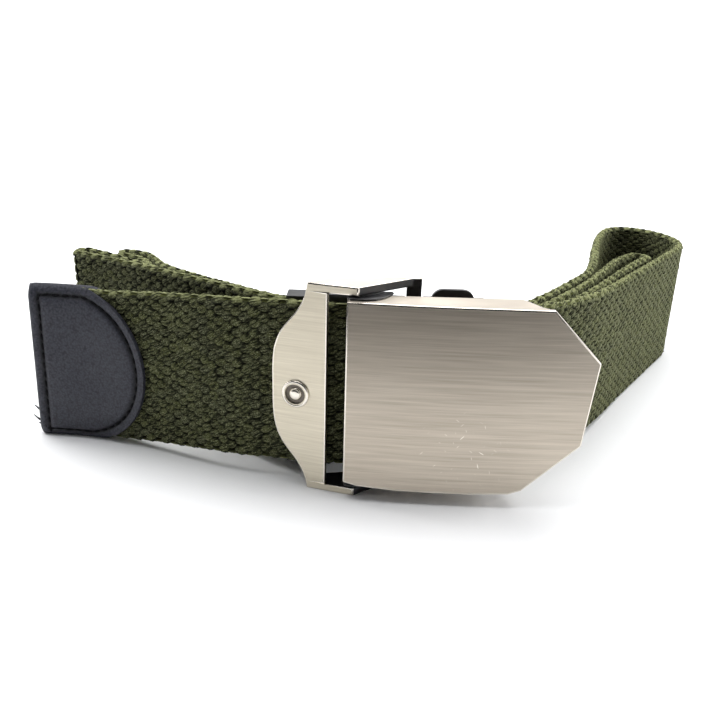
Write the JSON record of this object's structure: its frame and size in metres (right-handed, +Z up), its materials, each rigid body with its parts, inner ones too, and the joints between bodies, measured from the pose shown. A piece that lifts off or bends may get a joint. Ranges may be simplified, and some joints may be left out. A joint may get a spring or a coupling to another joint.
{
  "type": "military web belt",
  "caption": "Olive canvas web belt, fastened in a flat silver flip-top buckle, folded and standing on its edge, with a leather tip.",
  "frame": {"origin": "centre of the bounding box on the surface that the belt stands on", "axes": "+X along the buckle towards the side loops, +Y from the buckle's face to the back, +Z up across the webbing's width"},
  "size_m": [0.1878, 0.1338, 0.0478],
  "materials": {
    "webbing": "thick woven canvas, matt",
    "tip_leather": "smooth finished leather, satin",
    "frame_metal": "nickel plate, brushed along the belt, with polished edges",
    "cover_metal": "darker nickel plate, brushed along the belt, with polished edges",
    "black_metal": "black lacquer, satin"
  },
  "bodies": {
    "belt": {"webbing_strap": "webbing", "leather_tip": "tip_leather", "buckle_frame": "frame_metal", "hinge_pin": "frame_metal", "base_plate": "black_metal", "end_clamp": "black_metal"},
    "cover": {"cover_plate": "cover_metal", "cover_cam": "black_metal"}
  },
  "joints": [
    {"name": "cover_hinge", "type": "hinge", "parent": "belt", "child": "cover", "pos_m": [-0.01488, -0.06126, 0.0239], "axis": [0, 0, -1], "range_deg": [0, 90]}
  ]
}
